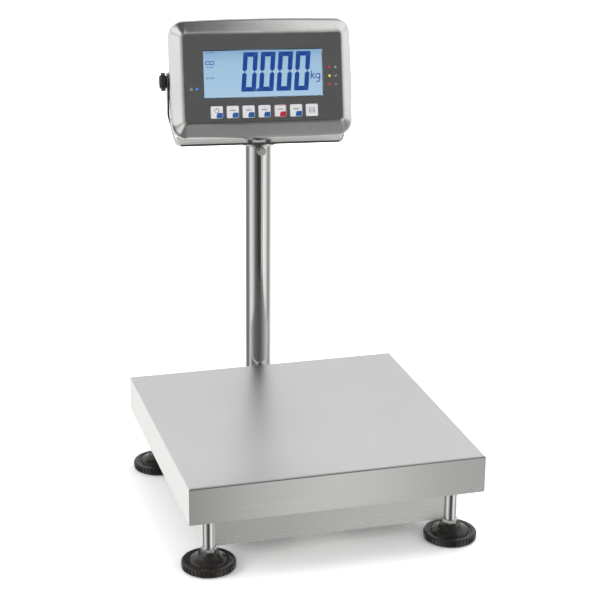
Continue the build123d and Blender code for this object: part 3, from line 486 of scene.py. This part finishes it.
# Weighing pan
# A square tray folded from stainless sheet, with a deep skirt, lies upside down over the cross and
# lifts straight off. Its top is brushed from front to back and its skirts along their length.
pan_steel, tree, shader = finish("pan_steel", (0.80, 0.81, 0.80, 1.0), metallic=1.0,
                                 roughness=0.36)
# The top's colour is a little paler than the skirts': a painted sheen on the top. Its brush marks
# and roughness are the steel's own.
pan_top_brush_and_sheen = place_effect(
    pan_steel, brushing, colour=(0.84, 0.85, 0.845, 1.0), dark_colour=(0.81, 0.82, 0.815, 1.0),
    stretch=(900.0, 5.0, 900.0), shine_low=0.35, shine_high=0.39)
pan_side_brush = place_effect(
    pan_steel, brushing, colour=(0.80, 0.80, 0.79, 1.0), dark_colour=(0.76, 0.76, 0.75, 1.0),
    stretch=(4.0, 4.0, 900.0), shine_low=0.14, shine_high=0.18)
# Faces that look up take the top's paler colour, a painted sheen, and its roughness. The skirts
# take their own colour and roughness.
pan_facing = add_node(tree, "NewGeometry")
pan_normal = add_node(tree, "SeparateXYZ", {"Vector": pan_facing.outputs["Normal"]})
pan_is_top = add_node(tree, "MapRange", {
    "Value": pan_normal.outputs["Z"], "From Min": 0.5, "From Max": 0.9})
for output_name, input_name, kind in (
    ("Colour", "Base Color", "RGBA"), ("Roughness", "Roughness", "FLOAT"),
):
    pan_pick = add_node(tree, "Mix", {
        "Factor": pan_is_top.outputs["Result"], "A": pan_side_brush.outputs[output_name],
        "B": pan_top_brush_and_sheen.outputs[output_name]}, data_type=kind)
    feed(tree, shader, {input_name: pan_pick.outputs["Result"]})
pan_bump = add_node(tree, "Bump", {
    "Strength": 0.015, "Distance": brush_relief, "Height": pan_top_brush_and_sheen.outputs["Height"]})
feed(tree, shader, {"Normal": pan_bump.outputs["Normal"]})
wear(["weighing_pan"], pan_steel)

# Column with its bolts and end cap
# A drawn stainless tube, ground and polished round, is gripped between the bracket's cheeks by two
# bolts. A black plastic plug closes its lower end.
tube_polish = brushed("tube_polish", (0.80, 0.80, 0.79, 1.0), (0.74, 0.74, 0.73, 1.0),
                      (500.0, 500.0, 12.0), low=0.13, high=0.19, depth=0.03)
wear(["column_tube"], tube_polish)
column_bolt_plate = plated("column_bolt_plate", (0.76, 0.76, 0.76, 1.0), (0.6, 0.6, 0.59, 1.0),
                           low=0.16, high=0.3)
wear(["column_bolts", "bracket_bolts", "flange_screws"], column_bolt_plate)
clamp_bolt_plate = plated("clamp_bolt_plate", (0.88, 0.88, 0.87, 1.0), (0.76, 0.76, 0.75, 1.0),
                          low=0.42, high=0.55)
wear(["clamp_bolt"], clamp_bolt_plate)
cap_plastic = moulded("cap_plastic", (0.025, 0.025, 0.025, 1.0), (0.045, 0.045, 0.045, 1.0),
                      low=0.4, high=0.55)
wear(["column_end_cap"], cap_plastic)

# Flange and U bracket
# A turned stainless flange carries a stainless strip bent to a U, wide under the head and narrow
# at the arms. Four button-head screws hold the strip to the flange.
bracket_satin = brushed("bracket_satin", (0.76, 0.76, 0.75, 1.0), (0.70, 0.70, 0.69, 1.0),
                        (6.0, 700.0, 700.0), low=0.18, high=0.28, depth=0.04)
wear(["display_bracket"], bracket_satin)
flange_turned = brushed("flange_turned", (0.72, 0.72, 0.71, 1.0), (0.64, 0.64, 0.63, 1.0),
                        (400.0, 400.0, 900.0), low=0.2, high=0.32, depth=0.04)
wear(["column_flange"], flange_turned)

# Rear housing, gasket and screws
# The back of the head is a deep-drawn stainless tray. A black rubber gasket seals it to the front
# cover, and four long plated screws pull the two together.
housing_satin = brushed("housing_satin", (0.74, 0.74, 0.73, 1.0), (0.68, 0.68, 0.67, 1.0),
                        (5.0, 600.0, 600.0), low=0.22, high=0.34, depth=0.04)
wear(["rear_housing"], housing_satin)
gasket_rubber = moulded("gasket_rubber", (0.015, 0.015, 0.015, 1.0), (0.03, 0.03, 0.03, 1.0),
                        grain=700.0, low=0.6, high=0.75, depth=0.1)
wear(["housing_gasket"], gasket_rubber)
case_screw_plate = plated("case_screw_plate", (0.78, 0.78, 0.78, 1.0), (0.62, 0.62, 0.61, 1.0),
                          low=0.15, high=0.28)
wear(["housing_screws"], case_screw_plate)

# Cable glands
# Black nylon glands with a hexagon body are screwed into the head's back and the base frame's rear
# channel; each has a hole for a lead.
gland_nylon = moulded("gland_nylon", (0.028, 0.028, 0.030, 1.0), (0.05, 0.05, 0.052, 1.0),
                      grain=800.0, low=0.4, high=0.52)
wear(["display_glands", "frame_gland"], gland_nylon)

# Battery and boards
# Inside the head, a battery in a blue sleeve lies on the housing's back, and green glass-epoxy
# boards carry the display and the keys' switches.
battery_sleeve = moulded("battery_sleeve", (0.03, 0.10, 0.32, 1.0), (0.04, 0.13, 0.4, 1.0),
                         grain=300.0, low=0.3, high=0.4)
wear(["battery_pack"], battery_sleeve)
board_lacquer = moulded("board_lacquer", (0.01, 0.09, 0.03, 1.0), (0.015, 0.14, 0.05, 1.0),
                        grain=420.0, low=0.25, high=0.4)
wear(["main_board", "key_board"], board_lacquer)

# Front cover
# The front of the head is one deep-drawn piece of polished stainless: a flat panel in a sloping
# band, with a rounded rim. It clamps the gasket against the rear housing.
cover_rounding = 0.009
cover_light, cover_dull = (0.80, 0.80, 0.79, 1.0), (0.74, 0.74, 0.73, 1.0)
cover_polish = plated("cover_polish", cover_light, cover_dull, low=0.10, high=0.18, patch=14.0)
tree = cover_polish.node_tree
cover_round = add_node(tree, "Bevel", {"Radius": cover_rounding}, samples=8)
feed(tree, tree.nodes["Principled BSDF"], {"Normal": cover_round.outputs["Normal"]})
wear(["front_cover"], cover_polish)

# Front film
# A dark grey printed polyester film is stuck to the cover's flat panel. Its openings show the
# window, the keys and the status lamps.
film_grey = moulded("film_grey", (0.105, 0.106, 0.107, 1.0), (0.115, 0.116, 0.117, 1.0),
                    grain=1500.0, low=0.42, high=0.5, depth=0.03)
wear(["front_overlay"], film_grey)

# Display
# A liquid-crystal panel, lit blue from behind, stands behind the window. Its figures are dark blue
# segments that lean a little to the right, with the unit beside them and faint signs at the left.
head_across = -Vector(joints["display_tilt"]["axis"])
face_out = -Vector(joints["key_1_press"]["axis"])
face_up = face_out.cross(head_across).normalized()
tilt_centre = Vector(joints["display_tilt"]["pos_m"])
module_front = max(
    (v.co - tilt_centre).dot(face_out) for v in nodes["display_module"].data.vertices)
glass_low, glass_high = -0.028, 0.039
glass_film, glow_bend = 0.00012, 0.75
glow_low, glow_middle, glow_high = (
    (0.42, 0.60, 0.76, 1.0), (0.37, 0.54, 0.71, 1.0), (0.26, 0.43, 0.62, 1.0))
digit_height, digit_width, digit_pitch = 0.0545, 0.0205, 0.02475
digit_stroke, digit_gap, digit_lean = 0.0064, 0.0001, 0.092
digit_left, digit_bottom = -0.0315, -0.0192
point_gap, point_width, point_height, point_lean = 0.0007, 0.0036, 0.004, 0.1


def face_point(x, y, forward):
    """A point on the head's face: across, up and forward of the tilt axis, in metres."""
    return tilt_centre + head_across * x + face_up * y + face_out * forward


def face_print(name, outlines, level, film, material, body):
    """A thin layer at a level of the face, from outlines given across and up it."""
    mesh = bmesh.new()
    for outline in outlines:
        under, over = ([mesh.verts.new(face_point(x, y, depth)) for x, y in outline]
                       for depth in (level - film, level + film))
        mesh.faces.new(over)
        mesh.faces.new(list(reversed(under)))
        for i in range(len(outline)):
            j = (i + 1) % len(outline)
            mesh.faces.new((under[i], under[j], over[j], over[i]))
    bmesh.ops.recalc_face_normals(mesh, faces=mesh.faces)
    data = bpy.data.meshes.new(name)
    mesh.to_mesh(data)
    mesh.free()
    data.materials.append(material)
    printed = bpy.data.objects.new(name, data)
    bpy.context.scene.collection.objects.link(printed)
    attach(printed, body)


def bar(x0, y0, x1, y1, width):
    """The four corners of a straight stroke between two points."""
    along = Vector((x1 - x0, y1 - y0)).normalized() * width / 2
    across = Vector((-along.y, along.x))
    start, end = Vector((x0, y0)), Vector((x1, y1))
    return [tuple(start - across), tuple(end - across), tuple(end + across), tuple(start + across)]


def strokes(left, base, width, *lines):
    """Straight strokes of one width, each from one point to another, off a sign's corner."""
    return [bar(left + x0, base + y0, left + x1, base + y1, width) for x0, y0, x1, y1 in lines]


def ring_strokes(x, y, radius, width, start=0.0, sweep=360.0, count=16):
    """Short strokes that follow an arc."""
    turns = [radians(start + sweep * i / count) for i in range(count + 1)]
    points = [(x + radius * cos(t), y + radius * sin(t)) for t in turns]
    return [bar(*points[i], *points[i + 1], width) for i in range(count)]


def digit_outlines(left, bottom):
    """The six lit segments of a nought, with mitred ends, leaning to the right."""
    w, h, s, g = digit_width, digit_height, digit_stroke, digit_gap
    m = h / 2
    segments = (
        [(g, h), (w - g, h), (w - s - g, h - s), (s + g, h - s)],
        [(w, h - g), (w, m + s / 2), (w - s / 2, m + g), (w - s, m + s / 2 + g),
         (w - s, h - s - g)],
        [(w, g), (w - s, s + g), (w - s, m - s / 2 - g), (w - s / 2, m - g), (w, m - s / 2)],
        [(g, 0), (s + g, s), (w - s - g, s), (w - g, 0)],
        [(0, g), (0, m - s / 2), (s / 2, m - g), (s, m - s / 2 - g), (s, s + g)],
        [(0, h - g), (s, h - s - g), (s, m + s / 2 + g), (s / 2, m + g), (0, m + s / 2)],
    )
    return [[(left + x + y * digit_lean, bottom + y) for x, y in segment] for segment in segments]


lcd_glass, tree, shader = finish("lcd_glass", (0.02, 0.03, 0.04, 1.0), roughness=0.25)
lcd_place = add_node(tree, "TexCoord")
lcd_rise = add_node(tree, "VectorMath", {0: lcd_place.outputs["Object"], 1: face_up},
                    operation="DOT_PRODUCT")
lcd_height = add_node(tree, "MapRange", {
    "Value": lcd_rise.outputs["Value"], "From Min": tilt_centre.dot(face_up) + glass_low,
    "From Max": tilt_centre.dot(face_up) + glass_high})
lcd_glow = add_node(tree, "ValToRGB", {"Fac": lcd_height.outputs["Result"]})
lcd_stops = lcd_glow.color_ramp.elements
lcd_stops[0].color = glow_low
lcd_stops[1].color = glow_high
lcd_stops.new(glow_bend).color = glow_middle
feed(tree, shader, {"Emission Color": lcd_glow.outputs["Color"], "Emission Strength": 1.0})
wear(["display_module"], lcd_glass)

segment_ink, tree, shader = finish("segment_ink", (0.012, 0.05, 0.24, 1.0), roughness=0.4)
feed(tree, shader, {"Emission Color": (0.012, 0.07, 0.33, 1.0), "Emission Strength": 0.7})
faint_ink, tree, shader = finish("faint_ink", (0.03, 0.10, 0.33, 1.0), roughness=0.4)
feed(tree, shader, {"Emission Color": (0.05, 0.15, 0.45, 1.0), "Emission Strength": 0.7})

figure_outlines = []
for place in range(4):
    figure_outlines += digit_outlines(digit_left + place * digit_pitch, digit_bottom)
point_left = digit_left + digit_width + point_gap
figure_outlines.append([(point_left + x + y * point_lean, digit_bottom + y) for x, y in (
    (0.0, 0.0), (point_width, 0.0), (point_width, point_height), (0.0, point_height))])

# The unit is a k of three strokes and a g of a ring with a tail.
unit_left, unit_base, unit_line = 0.0675, -0.0035, 0.0013
unit_outlines = strokes(unit_left, unit_base, unit_line,
                        (0.0, 0.0, 0.001, 0.0115), (0.0003, 0.0035, 0.0052, 0.0078),
                        (0.0015, 0.0045, 0.0052, 0.0))
unit_outlines += ring_strokes(unit_left + 0.0098, unit_base + 0.0040, 0.0031, unit_line)
unit_outlines += strokes(unit_left, unit_base, unit_line,
                         (0.0128, 0.0075, 0.0124, -0.0022), (0.0124, -0.0022, 0.0105, -0.0042),
                         (0.0105, -0.0042, 0.0075, -0.0036))

# The faint signs at the left are a dash, a battery box, two short dashes, and two arrows that
# point at a ring.
faint_left, dash_row, box_base, word_row, arrow_row = -0.0805, 0.0355, 0.0195, 0.0155, 0.0005
dash_line, word_line, dial_line = 0.0009, 0.001, 0.0006
box_width, box_height, box_line = 0.012, 0.004, 0.0011
arrow_half, dial_x, dial_radius = 0.0015, 0.006, 0.0012
sign_outlines = strokes(faint_left, dash_row, dash_line, (0.0, 0.0, 0.013, 0.0))
sign_outlines += strokes(faint_left, box_base, box_line,
                         *((0.0, y, box_width, y) for y in (box_height, 0.0)),
                         *((x, box_height, x, 0.0) for x in (0.0005, 0.0065, box_width)))
sign_outlines += strokes(faint_left, word_row, word_line,
                         (0.002, 0.0, 0.005, 0.0), (0.0065, 0.0, 0.0105, 0.0))
for arrow_back, arrow_tip in ((0.001, 0.0036), (0.011, 0.0084)):
    sign_outlines.append([
        (faint_left + arrow_back, arrow_row - arrow_half),
        (faint_left + arrow_back, arrow_row + arrow_half), (faint_left + arrow_tip, arrow_row)])
sign_outlines += ring_strokes(faint_left + dial_x, arrow_row, dial_radius, dial_line)

for name, outlines, ink in (
    ("display_figures", figure_outlines, segment_ink),
    ("display_unit", unit_outlines, segment_ink),
    ("display_signs", sign_outlines, faint_ink),
):
    face_print(name, outlines, module_front, glass_film, ink, "display_head")

# Window
# The window is a clear acrylic pane, cut to size and polished. It is bedded in the film's opening,
# on the ledge round the cover's hole.
window_acrylic, tree, shader = finish("window_acrylic", (0.96, 0.98, 1.0, 1.0), roughness=0.04)
smear_place = add_node(tree, "TexCoord")
smear = add_node(tree, "TexNoise", {"Vector": smear_place.outputs["Object"], "Scale": 30.0})
smear_shine = add_node(tree, "MapRange", {
    "Value": smear.outputs["Fac"], "To Min": 0.03, "To Max": 0.08})
feed(tree, shader, {
    "Transmission Weight": 1.0, "IOR": 1.3, "Roughness": smear_shine.outputs["Result"]})
wear(["display_window"], window_acrylic)

# Keys
# Seven square keys of moulded white plastic stand a little proud of the film, each over its dome.
# Most have a blue corner for their second use, printed as their grey signs are, and one is outlined
# in red.
key_half, key_film = 0.0085, 0.00008
corner_size, corner_inset = 0.0086, 0.0005
corner_shape = ((0.0, 0.0), (0.0, 0.82), (0.8, 0.82), (1.0, 0.5), (1.0, 0.0))
outline_inset, outline_line = 0.0006, 0.0006
sign_rise, sign_gap, sign_reach, sign_line = 0.0022, 0.0012, 0.0042, 0.0009
dot_radius, dot_line = 0.0010, 0.0005
power_radius, power_line, power_start, power_sweep = 0.0030, 0.0007, 120.0, 300.0
power_bar_low, power_bar_high, power_bar_line = 0.0008, 0.0042, 0.0008
paper_half, paper_edge_line = 0.0035, 0.0007
paper_rows, paper_row_line = (-0.003, -0.001, 0.001, 0.003), 0.0005
key_white = moulded("key_white", (0.93, 0.94, 0.97, 1.0), (0.96, 0.97, 0.99, 1.0),
                    grain=1200.0, high=0.45, depth=0.03)
key_ink_blue = moulded("key_ink_blue", (0.015, 0.13, 0.42, 1.0), (0.02, 0.16, 0.48, 1.0),
                       grain=1200.0, high=0.45, depth=0.02)
key_ink_red = moulded("key_ink_red", (0.55, 0.015, 0.03, 1.0), (0.62, 0.025, 0.045, 1.0),
                      grain=1200.0, high=0.45, depth=0.02)
key_ink_grey = moulded("key_ink_grey", (0.16, 0.17, 0.19, 1.0), (0.2, 0.21, 0.23, 1.0),
                       grain=1200.0, high=0.45, depth=0.02)
for number in range(1, 8):
    key = f"key_{number}"
    wear([key], key_white)
    corners = [v.co - tilt_centre for v in nodes[key].data.vertices]
    key_top = max(c.dot(face_out) for c in corners)
    key_x, key_y = ((max(c.dot(way) for c in corners) + min(c.dot(way) for c in corners)) / 2
                    for way in (head_across, face_up))
    key_prints = []
    if number != 7:
        right_x, base_y = key_x + key_half - corner_inset, key_y - key_half + corner_inset
        patch = [(right_x - corner_size * x, base_y + corner_size * y) for x, y in corner_shape]
        corner_ink = key_ink_red if number == 5 else key_ink_blue
        key_prints.append(("corner", [patch], corner_ink))
    if number == 5:
        h = key_half - outline_inset
        outline = strokes(key_x, key_y, outline_line, *((-h, y, h, y) for y in (-h, h)),
                          *((x, -h, x, h) for x in (-h, h)))
        key_prints.append(("outline", outline, key_ink_red))
    sign_y = key_y + sign_rise
    if number == 1:
        sign = ring_strokes(key_x, sign_y, power_radius, power_line, power_start, power_sweep)
        sign += strokes(key_x, sign_y, power_bar_line, (0.0, power_bar_low, 0.0, power_bar_high))
    elif number == 7:
        h = paper_half
        sign = strokes(key_x, key_y, paper_row_line, *((-h, y, h, y) for y in paper_rows))
        sign += strokes(key_x, key_y, paper_edge_line, *((x, -h, x, h) for x in (-h, h)))
    else:
        sign = strokes(key_x, sign_y, sign_line,
                       (-sign_reach, 0.0, -sign_gap, 0.0), (sign_gap, 0.0, sign_reach, 0.0))
        sign += ring_strokes(key_x, sign_y, dot_radius, dot_line, count=10)
    key_prints.append(("sign", sign, key_ink_grey))
    for print_name, outlines, ink in key_prints:
        face_print(f"{key}_{print_name}", outlines, key_top, key_film, ink, f"{key}_cap")

# Status lamps and their signs
# Four small lenses of tinted acrylic shine through the film: red, yellow and red on the right for
# checking a weight against its limits, and blue on the left for power. White signs are printed
# beside them.
lens_red, lens_yellow, lens_blue = (
    (0.58, 0.02, 0.05, 1.0), (0.62, 0.70, 0.04, 1.0), (0.04, 0.26, 0.85, 1.0))
lens_rise, yellow_from, yellow_to = 0.03, 0.4, 0.6
lamp_lens, tree, shader = finish("lamp_lens", (0.5, 0.02, 0.03, 1.0), roughness=0.25)
lens_place = add_node(tree, "TexCoord")
lens_offsets = []
for way in (head_across, face_up):
    lens_along = add_node(tree, "VectorMath", {0: lens_place.outputs["Object"], 1: way},
                          operation="DOT_PRODUCT")
    lens_offset = add_node(tree, "Math", {
        0: lens_along.outputs["Value"], 1: tilt_centre.dot(way)}, operation="SUBTRACT")
    lens_offsets.append(lens_offset.outputs["Value"])
lens_across, lens_height = lens_offsets
lens_share = add_node(tree, "MapRange", {
    "Value": lens_height, "From Min": -lens_rise, "From Max": lens_rise})
lens_rows = add_node(tree, "ValToRGB", {"Fac": lens_share.outputs["Result"]})
lens_rows.color_ramp.interpolation = "CONSTANT"
lens_stops = lens_rows.color_ramp.elements
lens_stops[0].color = lens_red
lens_stops[1].position = yellow_from
lens_stops[1].color = lens_yellow
lens_stops.new(yellow_to).color = lens_red
lens_left = add_node(tree, "Math", {0: lens_across, 1: 0.0}, operation="LESS_THAN")
lens_mix = add_node(tree, "Mix", {
    "Factor": lens_left.outputs["Value"], "A": lens_rows.outputs["Color"], "B": lens_blue},
    data_type="RGBA")
feed(tree, shader, {
    "Base Color": lens_mix.outputs["Result"], "Emission Color": lens_mix.outputs["Result"],
    "Emission Strength": 0.45})
wear(["status_lamps"], lamp_lens)

film_front = max(
    (v.co - tilt_centre).dot(face_out) for v in nodes["front_overlay"].data.vertices)
print_film = 0.00006
limit_x, limit_rise, limit_half, limit_line = 0.1022, 0.012, 0.0018, 0.0008
tick_line = 0.0007
charge_x, charge_y, charge_radius, charge_line = -0.1015, -0.0145, 0.0016, 0.0006
sign_white = moulded("sign_white", (0.62, 0.63, 0.64, 1.0), (0.7, 0.7, 0.71, 1.0),
                     grain=1200.0, low=0.4, depth=0.02)
lamp_signs = strokes(limit_x, limit_rise, limit_line,
                     (-limit_half, 0.0, limit_half, 0.0), (0.0, -limit_half, 0.0, limit_half))
lamp_signs += strokes(limit_x, 0.0, tick_line,
                      (-0.0017, 0.0002, -0.0004, -0.0014), (-0.0006, -0.0015, 0.0018, 0.0016))
lamp_signs += strokes(limit_x, -limit_rise, limit_line, (-limit_half, 0.0, limit_half, 0.0))
lamp_signs += ring_strokes(charge_x, charge_y, charge_radius, charge_line, power_start,
                           power_sweep)
lamp_signs += strokes(charge_x, charge_y, charge_line, (0.0, 0.0005, 0.0, 0.0025))
face_print("lamp_signs", lamp_signs, film_front, print_film, sign_white,
           "display_head")

# Tilt knob, pivot screw and washers
# A black nylon knob with lobes, moulded on a steel stud, goes through the U bracket's left arm into
# the housing, and a low plated screw through the right one. Rubber washers give the head its grip.
knob_nylon = moulded("knob_nylon", (0.026, 0.026, 0.027, 1.0), (0.05, 0.05, 0.05, 1.0),
                     grain=800.0, low=0.34, high=0.46)
wear(["knob_left"], knob_nylon)
pivot_plate = plated("pivot_plate", (0.76, 0.76, 0.75, 1.0), (0.6, 0.6, 0.58, 1.0),
                     low=0.16, high=0.3)
wear(["pivot_screw"], pivot_plate)
washer_rubber = moulded("washer_rubber", (0.02, 0.02, 0.02, 1.0), (0.035, 0.035, 0.035, 1.0),
                        grain=700.0, low=0.6, high=0.75, depth=0.1)
wear(["pivot_washers"], washer_rubber)
